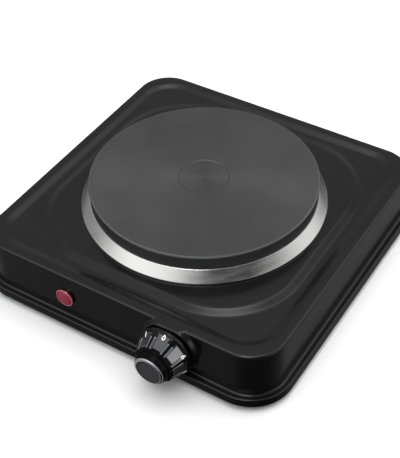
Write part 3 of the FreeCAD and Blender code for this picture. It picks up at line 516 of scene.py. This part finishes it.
def make_numerals():
    """Thin white numerals on the foot of the knob's cone."""
    place = on_wall(KNOB_X, KNOB_Z)
    mesh_data = bmesh.new()
    size, rise, weight = 5.3, 0.11, 0.03
    for mark in range(MARKS):
        curve = bpy.data.curves.new("mark", "FONT")
        curve.body = str(mark)
        curve.size = size
        curve.extrude = rise
        curve.offset = weight
        curve.align_x = "CENTER"
        curve.align_y = "CENTER"
        curve.resolution_u = 6
        text = bpy.data.objects.new("mark", curve)
        bpy.context.scene.collection.objects.link(text)
        bpy.context.view_layer.update()
        mesh = bpy.data.meshes.new_from_object(text.evaluated_get(bpy.context.evaluated_depsgraph_get()))
        angle = 90.0 + FACET_TURN + MARK_STEP * mark
        for vertex in mesh.vertices:
            vertex.co = place(*on_cone(angle, *vertex.co))
        mesh_data.from_mesh(mesh)
        bpy.data.objects.remove(text)
        bpy.data.curves.remove(curve)
        bpy.data.meshes.remove(mesh)
    return new_object("knob_numerals", mesh_data, 30.0)


# ---------------------------------------------------------------- lamp

def make_lens():
    """Red lens: rounded rim, low dome, and a hollow barrel through the wall."""
    front = LAMP_SEAT + 2.2
    dome_rise, dome_base, dome_steps = 1.9, LAMP_SEAT + 1.1, 14
    barrel_r, bore_r = 5.9, 4.9
    line = [(LAMP_DOME_R * math.sin(t), dome_base + dome_rise * math.cos(t))
            for t in (math.radians(90 * k / dome_steps) for k in range(dome_steps + 1))]
    line += rounded([(LAMP_DOME_R + 0.1, LAMP_SEAT + 1.0), (LAMP_DOME_R + 0.3, front, 0.3),
                     (LAMP_RIM_R, front, 0.6), (LAMP_RIM_R, LAMP_SEAT), (barrel_r, LAMP_SEAT),
                     (barrel_r, LAMP_BACK), (bore_r, LAMP_BACK), (bore_r, LAMP_SEAT - 0.6, 1.0),
                     (0, LAMP_SEAT + 1.0)], steps=7)
    return turned("lamp_lens_moulding", line, on_wall(LAMP_X, LAMP_Z), segments=96, sharp_angle=50.0)


# ---------------------------------------------------------------- materials

class Nodes:
    """Short calls that add nodes to one node tree."""

    def __init__(self, tree):
        self.tree = tree
        self.place = None

    def node(self, kind, **settings):
        made = self.tree.nodes.new(kind)
        for key, value in settings.items():
            setattr(made, key, value)
        return made

    def link(self, source, target):
        self.tree.links.new(source, target)

    def noise(self, scale, detail=3.0, roughness=0.5, place=None):
        made = self.node("ShaderNodeTexNoise")
        made.inputs["Scale"].default_value = scale
        made.inputs["Detail"].default_value = detail
        made.inputs["Roughness"].default_value = roughness
        self.link(place or self.place, made.inputs["Vector"])
        return made.outputs["Fac"]

    def spread(self, value, low, high, start=0.3, end=0.7, smooth=False):
        """A value moved from start..end to low..high."""
        made = self.node("ShaderNodeMapRange", interpolation_type="SMOOTHSTEP" if smooth else "LINEAR")
        for socket, number in (("From Min", start), ("From Max", end), ("To Min", low), ("To Max", high)):
            made.inputs[socket].default_value = number
        self.link(value, made.inputs["Value"])
        return made.outputs["Result"]

    def span(self, value, rise, fall, smooth=False):
        """1 where a value lies between two soft limits, each given as (start, end)."""
        above = self.spread(value, 0.0, 1.0, *rise, smooth=smooth)
        below = self.spread(value, 1.0, 0.0, *fall, smooth=smooth)
        return self.math("MULTIPLY", above, below)

    def from_point(self, point):
        """The three coordinates of a place about a point, in metres."""
        shifted = self.node("ShaderNodeVectorMath", operation="SUBTRACT")
        shifted.inputs[1].default_value = point
        self.link(self.place, shifted.inputs[0])
        parts = self.node("ShaderNodeSeparateXYZ")
        self.link(shifted.outputs[0], parts.inputs[0])
        return tuple(parts.outputs)

    def length(self, first, second):
        """Length of the vector with two components."""
        squares = [self.math("MULTIPLY", part, part) for part in (first, second)]
        return self.math("SQRT", self.math("ADD", *squares))

    def math(self, operation, first, second=None):
        made = self.node("ShaderNodeMath", operation=operation)
        for socket, value in zip(made.inputs, (first, second)):
            if isinstance(value, (int, float)):
                socket.default_value = value
            elif value is not None:
                self.link(value, socket)
        return made.outputs[0]

    def blend(self, factor, dark, light):
        """Colour between two colours or colour sockets."""
        made = self.node("ShaderNodeMix", data_type="RGBA")
        self.link(factor, made.inputs["Factor"])
        for socket, colour in ((made.inputs[6], dark), (made.inputs[7], light)):
            if isinstance(colour, tuple):
                socket.default_value = (*colour, 1.0)
            else:
                self.link(colour, socket)
        return made.outputs[2]


class Paint(Nodes):
    """One node-based material about a Principled shader."""

    def __init__(self, name, roughness, metallic=0.0, **constants):
        self.material = bpy.data.materials.new(name)
        self.material.use_nodes = True
        super().__init__(self.material.node_tree)
        self.shader = self.tree.nodes["Principled BSDF"]
        self.shader.inputs["Roughness"].default_value = roughness
        self.shader.inputs["Metallic"].default_value = metallic
        for socket, value in constants.items():
            self.shader.inputs[socket.replace("_", " ")].default_value = value
        self.place = self.node("ShaderNodeTexCoord").outputs["Object"]
        self.heights = []

    def colour(self, socket):
        self.link(socket, self.shader.inputs["Base Color"])

    def rough(self, socket):
        self.link(socket, self.shader.inputs["Roughness"])

    def bump(self, height, distance, strength=1.0):
        """Stack one more bump of a real height in metres onto the normal."""
        made = self.node("ShaderNodeBump")
        made.inputs["Distance"].default_value = distance
        made.inputs["Strength"].default_value = strength
        self.link(height, made.inputs["Height"])
        if self.heights:
            self.link(self.heights[-1], made.inputs["Normal"])
        self.heights.append(made.outputs["Normal"])
        self.link(made.outputs["Normal"], self.shader.inputs["Normal"])

    def polar(self):
        """Distance from the plate's axis, angle about it, and height, in metres and radians."""
        x, y, z = self.from_point(AXIS)
        return self.length(x, y), self.math("ARCTAN2", y, x), z

    def lathe_lines(self, across, along, across_scale, along_scale, detail):
        """Noise drawn out into fine lines around the plate's axis."""
        place = self.node("ShaderNodeCombineXYZ")
        self.link(self.math("MULTIPLY", across, across_scale), place.inputs[0])
        self.link(self.math("MULTIPLY", along, along_scale), place.inputs[1])
        return self.noise(1.0, detail, place=place.outputs[0])

    def turned_sheen(self):
        """Stretch reflections across the lines left by turning about the vertical."""
        tangent = self.node("ShaderNodeTangent", direction_type="RADIAL", axis="Z")
        self.link(tangent.outputs[0], self.shader.inputs["Tangent"])


def black_enamel():
    paint = Paint("black_enamel", 0.2, Specular_IOR_Level=0.5)
    cloud = paint.spread(paint.noise(14.0, 4.0), 0.0, 1.0)
    paint.colour(paint.blend(cloud, (0.0026, 0.0026, 0.0029), (0.0040, 0.0040, 0.0044)))
    paint.rough(paint.spread(paint.noise(55.0, 5.0), 0.17, 0.24))
    paint.bump(paint.noise(140.0, 2.0), 0.00002, 0.25)
    return paint.material


def cast_iron():
    """Dark turned iron, with a painted highlight: a lighter band on the chamfer along the edge of the top.
    """
    paint = Paint("cast_iron", 0.5, Specular_IOR_Level=0.6, Anisotropic=0.85)
    radius, angle, height = paint.polar()
    lines = paint.lathe_lines(radius, angle, 1400.0, 0.8, 2.0)
    blotch = paint.spread(paint.noise(28.0, 5.0, 0.6), 0.0, 1.0)
    body = paint.blend(blotch, (0.019, 0.019, 0.020), (0.027, 0.027, 0.028))
    sides = paint.blend(blotch, (0.018, 0.018, 0.019), (0.030, 0.030, 0.030))
    streaked = paint.blend(paint.spread(lines, 0.0, 0.35, 0.35, 0.65), body, (0.017, 0.017, 0.018))
    on_top = paint.spread(height, 0.0, 1.0, (PLATE_TOP - 2.6) * MM, (PLATE_TOP - 0.9) * MM)
    chamfer = paint.span(radius, ((PLATE_R - 1.4) * MM, (PLATE_R - 1.2) * MM),
                         ((PLATE_R - 0.4) * MM, (PLATE_R - 0.2) * MM))
    # painted highlight: the chamfer at the edge of the top is coloured lighter than the iron
    top_with_painted_highlight = paint.blend(paint.math("MULTIPLY", chamfer, on_top), streaked, (0.050, 0.050, 0.051))
    paint.colour(paint.blend(on_top, sides, top_with_painted_highlight))
    paint.rough(paint.spread(lines, 0.36, 0.48, 0.3, 0.7))
    paint.bump(lines, 0.00002, 0.5)
    paint.bump(paint.noise(2600.0, 3.0), 0.00001, 0.5)
    paint.turned_sheen()
    return paint.material


def stainless():
    """Bright sheet brushed around the plate's axis."""
    paint = Paint("stainless_steel", 0.22, 1.0, Anisotropic=0.55)
    radius, angle, height = paint.polar()
    lines = paint.lathe_lines(paint.math("ADD", radius, height), angle, 3200.0, 5.0, 3.0)
    paint.colour(paint.blend(lines, (0.56, 0.56, 0.56), (0.70, 0.70, 0.69)))
    paint.rough(paint.spread(lines, 0.17, 0.30))
    paint.bump(lines, 0.000008, 0.4)
    paint.turned_sheen()
    return paint.material


def knob_plastic():
    """Deep black moulding with polished grey panels, ribs, cap edge and cap face."""
    paint = Paint("knob_plastic", 0.1, Specular_IOR_Level=0.15)
    x, y, z = paint.from_point(metres(KNOB_X, 0.0, KNOB_Z))
    height = paint.math("MULTIPLY", y, -1 / MM)
    radius = paint.math("MULTIPLY", paint.length(x, z), 1 / MM)
    angle = paint.math("MULTIPLY", paint.math("ARCTAN2", z, x), 180 / math.pi)
    # degrees from the middle of the nearest facet; the whole turn added keeps the angle positive
    positive = paint.math("ADD", angle, 360.0 + FACET_STEP / 2 - FACET_TURN)
    phase = paint.math("SUBTRACT", paint.math("MODULO", positive, FACET_STEP), FACET_STEP / 2)
    off = paint.math("ABSOLUTE", phase)
    # soft limits of each polished surface: heights, degrees off the facet's middle, or radii
    panel_heights = (137.0, 137.6), (146.6, 147.2)
    rib_heights = (RIB_START - 0.8, RIB_START), (147.8, 149.0)
    rib_angles = (13.6, 14.6), (18.4, 19.4)
    cap_edge_radii = (9.9, 10.4), (11.6, 12.0)
    in_facet = paint.spread(off, 1.0, 0.0, 11.8, 12.8)
    in_face = paint.spread(radius, 1.0, 0.0, CAP_FACE_R - 0.1, CAP_FACE_R + 0.1)
    cap = paint.spread(height, 0.0, 1.0, KNOB_FACE - 3.0, KNOB_FACE - 2.5)
    panel = paint.math("MULTIPLY", paint.span(height, *panel_heights), in_facet)
    ribs = paint.math("MULTIPLY", paint.span(height, *rib_heights), paint.span(off, *rib_angles))
    cap_edge = paint.math("MULTIPLY", paint.span(radius, *cap_edge_radii), cap)
    cap_face = paint.math("MULTIPLY", in_face, cap)
    colour = paint.blend(paint.noise(120.0, 3.0), (0.0016, 0.0016, 0.0018), (0.0030, 0.0030, 0.0032))
    metal = None
    for mask, grey in ((panel, 0.25), (ribs, 0.33), (cap_edge, 0.92), (cap_face, 0.34)):
        colour = paint.blend(mask, colour, (grey, grey, grey * 1.04))
        metal = mask if metal is None else paint.math("MAXIMUM", metal, mask)
    # the black itself shines at the foot of the cone and less towards its head
    shine = paint.spread(height, 0.35, 0.05, 138.0, 146.0)
    paint.colour(colour)
    paint.link(metal, paint.shader.inputs["Metallic"])
    paint.link(shine, paint.shader.inputs["Specular IOR Level"])
    paint.rough(paint.spread(paint.noise(260.0, 4.0), 0.09, 0.16))
    paint.bump(paint.noise(700.0, 2.0), 0.000012, 0.3)
    return paint.material


def dial_white():
    paint = Paint("dial_white", 0.45)
    paint.colour(paint.blend(paint.noise(900.0, 3.0), (0.72, 0.72, 0.70), (0.84, 0.84, 0.82)))
    paint.bump(paint.noise(2400.0, 2.0), 0.00001, 0.4)
    return paint.material


def lamp_red():
    """Translucent red: deep inside the rim, paler on the rim's front as a painted sheen, and near black on
    its side as painted shade.
    """
    paint = Paint("lamp_red", 0.1, Transmission_Weight=0.15, IOR=1.7, Specular_IOR_Level=0.6)
    x, depth, z = paint.from_point(metres(LAMP_X, -LAMP_SEAT, LAMP_Z))
    radius = paint.length(x, z)
    on_rim = paint.spread(radius, 0.0, 1.0, (LAMP_DOME_R + 0.1) * MM, (LAMP_DOME_R + 0.4) * MM)
    raised = paint.spread(depth, 1.0, 0.0, -2.1 * MM, -1.5 * MM)
    outermost = paint.spread(radius, 0.0, 1.0, (LAMP_RIM_R - 0.3) * MM, (LAMP_RIM_R - 0.1) * MM)
    behind = paint.spread(depth, 0.0, 1.0, -1.7 * MM, -1.4 * MM)
    deep = paint.blend(paint.noise(240.0, 3.0), (0.20, 0.018, 0.035), (0.30, 0.034, 0.058))
    # painted sheen: the front of the rim is coloured a paler pink for its reflection
    painted_rim_sheen = paint.blend(paint.noise(500.0, 3.0), (0.40, 0.12, 0.16), (0.48, 0.16, 0.20))
    front = paint.blend(paint.math("MULTIPLY", on_rim, raised), deep, painted_rim_sheen)
    # painted shade: the side of the rim is coloured near black
    side = paint.math("MULTIPLY", outermost, behind)
    paint.colour(paint.blend(side, front, (0.030, 0.004, 0.007)))
    paint.rough(paint.spread(paint.noise(500.0, 2.0), 0.08, 0.15))
    paint.bump(paint.noise(900.0, 2.0), 0.00001, 0.3)
    return paint.material


def galvanised():
    paint = Paint("galvanised_sheet", 0.42, 1.0)
    cells = paint.node("ShaderNodeTexVoronoi")
    cells.inputs["Scale"].default_value = 110.0
    paint.link(paint.place, cells.inputs["Vector"])
    tone = paint.node("ShaderNodeSeparateColor")
    paint.link(cells.outputs["Color"], tone.inputs[0])
    paint.colour(paint.blend(tone.outputs[0], (0.42, 0.43, 0.44), (0.58, 0.59, 0.60)))
    paint.rough(paint.spread(tone.outputs[1], 0.34, 0.52, 0.0, 1.0))
    paint.bump(paint.noise(300.0, 4.0), 0.00002, 0.4)
    return paint.material


def grained(name, dark, light, roughness, metallic=0.0, grain=600.0, depth=0.00002, **constants):
    """General finish: a mottled colour, uneven gloss and a fine grain."""
    paint = Paint(name, roughness, metallic, **constants)
    mottle = paint.noise(grain * 0.12, 4.0)
    paint.colour(paint.blend(paint.spread(mottle, 0.0, 1.0), dark, light))
    paint.rough(paint.spread(paint.noise(grain * 0.3, 3.0), roughness * 0.85, min(1.0, roughness * 1.2)))
    paint.bump(paint.noise(grain, 3.0), depth, 0.5)
    return paint.material


def slot_materials():
    metal = dict(metallic=1.0)
    return {
        "black_enamel": black_enamel(),
        "cast_iron": cast_iron(),
        "stainless_steel": stainless(),
        "knob_plastic": knob_plastic(),
        "lamp_red": lamp_red(),
        "galvanised_sheet": galvanised(),
        "zinc_steel": grained("zinc_steel", (0.50, 0.50, 0.48), (0.62, 0.62, 0.60), 0.34, **metal),
        "spring_steel": grained("spring_steel", (0.26, 0.27, 0.31), (0.36, 0.37, 0.41), 0.3, **metal),
        "plain_steel": grained("plain_steel", (0.48, 0.48, 0.48), (0.60, 0.60, 0.60), 0.3, **metal),
        "brass": grained("brass", (0.66, 0.48, 0.20), (0.80, 0.62, 0.30), 0.28, **metal),
        "phosphor_bronze": grained("phosphor_bronze", (0.60, 0.40, 0.22), (0.74, 0.52, 0.32), 0.3, **metal),
        "silver_alloy": grained("silver_alloy", (0.78, 0.78, 0.77), (0.88, 0.88, 0.87), 0.18, **metal),
        "bimetal": grained("bimetal", (0.50, 0.47, 0.41), (0.62, 0.59, 0.52), 0.36, **metal),
        "nickel_strip": grained("nickel_strip", (0.58, 0.56, 0.50), (0.70, 0.68, 0.62), 0.3, **metal),
        "resistance_wire": grained("resistance_wire", (0.20, 0.20, 0.21), (0.32, 0.32, 0.33), 0.5, **metal),
        "steatite": grained("steatite", (0.76, 0.74, 0.68), (0.86, 0.84, 0.78), 0.55, grain=900.0),
        "magnesia": grained("magnesia", (0.70, 0.68, 0.62), (0.82, 0.80, 0.74), 0.9, grain=1500.0,
                            depth=0.00006),
        "cam_plastic": grained("cam_plastic", (0.32, 0.20, 0.09), (0.44, 0.29, 0.14), 0.45),
        "bulb_glass": grained("bulb_glass", (0.92, 0.90, 0.88), (0.97, 0.95, 0.93), 0.05,
                              Transmission_Weight=0.9, IOR=1.5),
        "resistor_coat": grained("resistor_coat", (0.50, 0.40, 0.27), (0.62, 0.52, 0.37), 0.4),
        "black_nylon": grained("black_nylon", (0.012, 0.012, 0.012), (0.022, 0.022, 0.022), 0.5,
                               grain=1200.0),
        "rubber": grained("rubber", (0.012, 0.012, 0.012), (0.024, 0.024, 0.023), 0.8, grain=1400.0,
                          depth=0.00004),
        "wire_brown": grained("wire_brown", (0.13, 0.05, 0.025), (0.20, 0.085, 0.04), 0.5),
        "wire_blue": grained("wire_blue", (0.03, 0.10, 0.32), (0.05, 0.15, 0.42), 0.5),
        "wire_green": grained("wire_green", (0.16, 0.36, 0.05), (0.50, 0.50, 0.05), 0.5, grain=700.0),
        "wire_grey": grained("wire_grey", (0.38, 0.38, 0.38), (0.48, 0.48, 0.48), 0.5),
    }


def paint_piece(piece, material):
    piece.data.materials.clear()
    piece.data.materials.append(material)


# ---------------------------------------------------------------- assembly of the looks

def add_pieces(materials):
    """Fine pieces that stand for CAD nodes: piece, body, slot, replaced node."""
    pieces = [
        (make_housing(), "base", "black_enamel", "housing"),
        (make_hot_plate(), "base", "cast_iron", "hot_plate"),
        (make_spill_ring(), "base", "stainless_steel", "spill_ring"),
        (make_knob(), "knob", "knob_plastic", "control_knob"),
        (make_lens(), "base", "lamp_red", "lamp_lens"),
    ]
    for piece, body, slot, node in pieces:
        paint_piece(piece, materials[slot])
        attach(piece, body)
        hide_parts(node)
    numerals = make_numerals()
    paint_piece(numerals, dial_white())
    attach(numerals, "knob")


def paint_frame(materials):
    """Give every CAD node the material of its slot."""
    for entry in frame["record"]["subparts"]:
        node = frame["nodes"][entry["node"]]
        material = materials[entry["material_slot"]]
        if not node.material_slots:
            node.data.materials.append(material)
        for slot in node.material_slots:
            slot.material = material


# ---------------------------------------------------------------- studio

def direction(azimuth, elevation):
    """Unit vector; azimuth 0 points to the front, 90 to the right."""
    a, e = math.radians(azimuth), math.radians(elevation)
    return Vector((math.sin(a) * math.cos(e), -math.cos(a) * math.cos(e), math.sin(e)))


def look_matrix(target, azimuth, elevation, roll, distance):
    """Matrix of a camera or lamp that stands in a direction from its target and looks at it."""
    r = math.radians(roll)
    back = direction(azimuth, elevation)
    side = Vector((0, 0, 1)).cross(back).normalized()
    up = back.cross(side)
    right = side * math.cos(r) + up * math.sin(r)
    top = up * math.cos(r) - side * math.sin(r)
    turn = Matrix((right, top, back)).transposed().to_4x4()
    return Matrix.Translation(target + back * distance) @ turn


def add_camera():
    data = bpy.data.cameras.new("camera")
    data.sensor_fit = "VERTICAL"
    data.sensor_height = 36.0
    data.lens = data.sensor_height / 2 / math.tan(math.radians(FIELD_OF_VIEW) / 2)
    camera = bpy.data.objects.new("camera", data)
    bpy.context.scene.collection.objects.link(camera)
    camera.matrix_world = look_matrix(metres(*VIEW_TARGET), VIEW_AZIMUTH, VIEW_ELEVATION, VIEW_ROLL,
                                      VIEW_DISTANCE)
    bpy.context.scene.camera = camera


def add_overhead_light():
    """Wide soft light above the table, a little behind it; it leaves no reflection of its own."""
    side, power = 3.0, 75.0
    azimuth, elevation, distance = 170.0, 79.0, 1.7
    data = bpy.data.lights.new("overhead_softbox", "AREA")
    data.shape = "RECTANGLE"
    data.size = side
    data.size_y = side
    data.energy = power
    light = bpy.data.objects.new("overhead_softbox", data)
    light.visible_glossy = False
    light.visible_camera = False
    bpy.context.scene.collection.objects.link(light)
    light.matrix_world = look_matrix(metres(0, 0, 0), azimuth, elevation, 0.0, distance)


def add_floor():
    mesh_data = bmesh.new()
    half, steps = 4.0, 8
    rows = []
    for i in range(steps + 1):
        y = -half + 2 * half * i / steps
        rows.append([Vector((-half + 2 * half * k / steps, y, 0.0)) for k in range(steps + 1)])
    skin_rows(mesh_data, rows, closed=False)
    bmesh.ops.recalc_face_normals(mesh_data, faces=mesh_data.faces)
    floor = new_object("floor", mesh_data)
    paint = Paint("floor_white", 0.7, Specular_IOR_Level=0.2)
    paint.colour(paint.blend(paint.noise(3.0, 2.0), (0.61, 0.61, 0.61), (0.63, 0.63, 0.63)))
    paint_piece(floor, paint.material)
    floor.visible_glossy = False


class Surroundings(Nodes):
    """The studio around the table: dark about the camera, lit panels to the left and right."""

    def __init__(self, world):
        super().__init__(world.node_tree)
        self.place = self.node("ShaderNodeTexCoord").outputs["Generated"]
        parts = self.node("ShaderNodeSeparateXYZ")
        self.link(self.place, parts.inputs[0])
        x, y, z = parts.outputs
        self.azimuth = self.math("ARCTAN2", x, self.math("MULTIPLY", y, -1.0))
        self.elevation = self.math("ARCSINE", z)

    def panel(self, brightness, azimuths, elevations):
        """Light panel with soft edges: each edge as (outer, inner, inner, outer) degrees."""
        light = brightness
        for angle, edges in ((self.azimuth, azimuths), (self.elevation, elevations)):
            edges = [math.radians(v) for v in edges]
            light = self.math("MULTIPLY", self.span(angle, edges[:2], edges[2:], smooth=True), light)
        return light

    def away_from(self, azimuth, elevation, low, high, start, end):
        """Rises from low to high with the angle from a direction, both angles in degrees."""
        dot = self.node("ShaderNodeVectorMath", operation="DOT_PRODUCT")
        self.link(self.place, dot.inputs[0])
        dot.inputs[1].default_value = direction(azimuth, elevation)
        angle = self.math("ARCCOSINE", dot.outputs["Value"])
        return self.spread(angle, low, high, math.radians(start), math.radians(end), smooth=True)


def add_world():
    """Soft surroundings with panels, overhead spots and a dim ground; the camera sees plain white."""
    world = bpy.data.worlds.new("studio")
    bpy.context.scene.world = world
    world.use_nodes = True
    studio = Surroundings(world)
    ceiling = studio.spread(studio.elevation, 0.0, 0.32, math.radians(42), math.radians(62), smooth=True)
    ceiling = studio.math("MULTIPLY", ceiling, studio.away_from(45.0, 60.0, 0.0, 1.0, 22.0, 50.0))
    parts = [
        # a glow that is weak about the camera, then the panels: front left, rear right, right
        studio.away_from(50.0, 36.0, 0.07, 0.34, 18.0, 80.0),
        studio.panel(1.15, (-80, -36, -6, 36), (2, 24, 54, 76)),
        studio.panel(0.80, (84, 124, 134, 168), (-10, 12, 46, 68)),
        studio.panel(1.00, (58, 74, 94, 112), (-8, 6, 18, 28)),
        # soft spots: overhead, high in front and high behind
        studio.away_from(-160.0, 81.0, 3.4, 0.0, 0.0, 20.0),
        studio.away_from(12.0, 62.0, 8.0, 0.0, 0.0, 16.0),
        studio.away_from(177.0, 55.0, 0.75, 0.0, 0.0, 15.0),
    ]
    sky = ceiling
    for part in parts:
        sky = studio.math("ADD", sky, part)
    ground = studio.away_from(45.0, -46.0, 0.0, 0.27, 15.0, 100.0)
    above = studio.spread(studio.elevation, 0.0, 1.0, math.radians(-20), math.radians(-3), smooth=True)
    below = studio.math("SUBTRACT", 1.0, above)
    light = studio.math("ADD", studio.math("MULTIPLY", sky, above), studio.math("MULTIPLY", ground, below))
    seen = studio.node("ShaderNodeLightPath").outputs["Is Camera Ray"]
    strength = studio.math("MAXIMUM", light, seen)
    background = studio.tree.nodes["Background"]
    background.inputs["Color"].default_value = (1.0, 1.0, 1.0, 1.0)
    studio.link(strength, background.inputs["Strength"])


def main():
    materials = slot_materials()
    paint_frame(materials)
    add_pieces(materials)
    add_camera()
    add_floor()
    add_world()
    add_overhead_light()
    scene = bpy.context.scene
    scene.view_settings.view_transform = "Standard"
    scene.cycles.use_denoising = True


main()
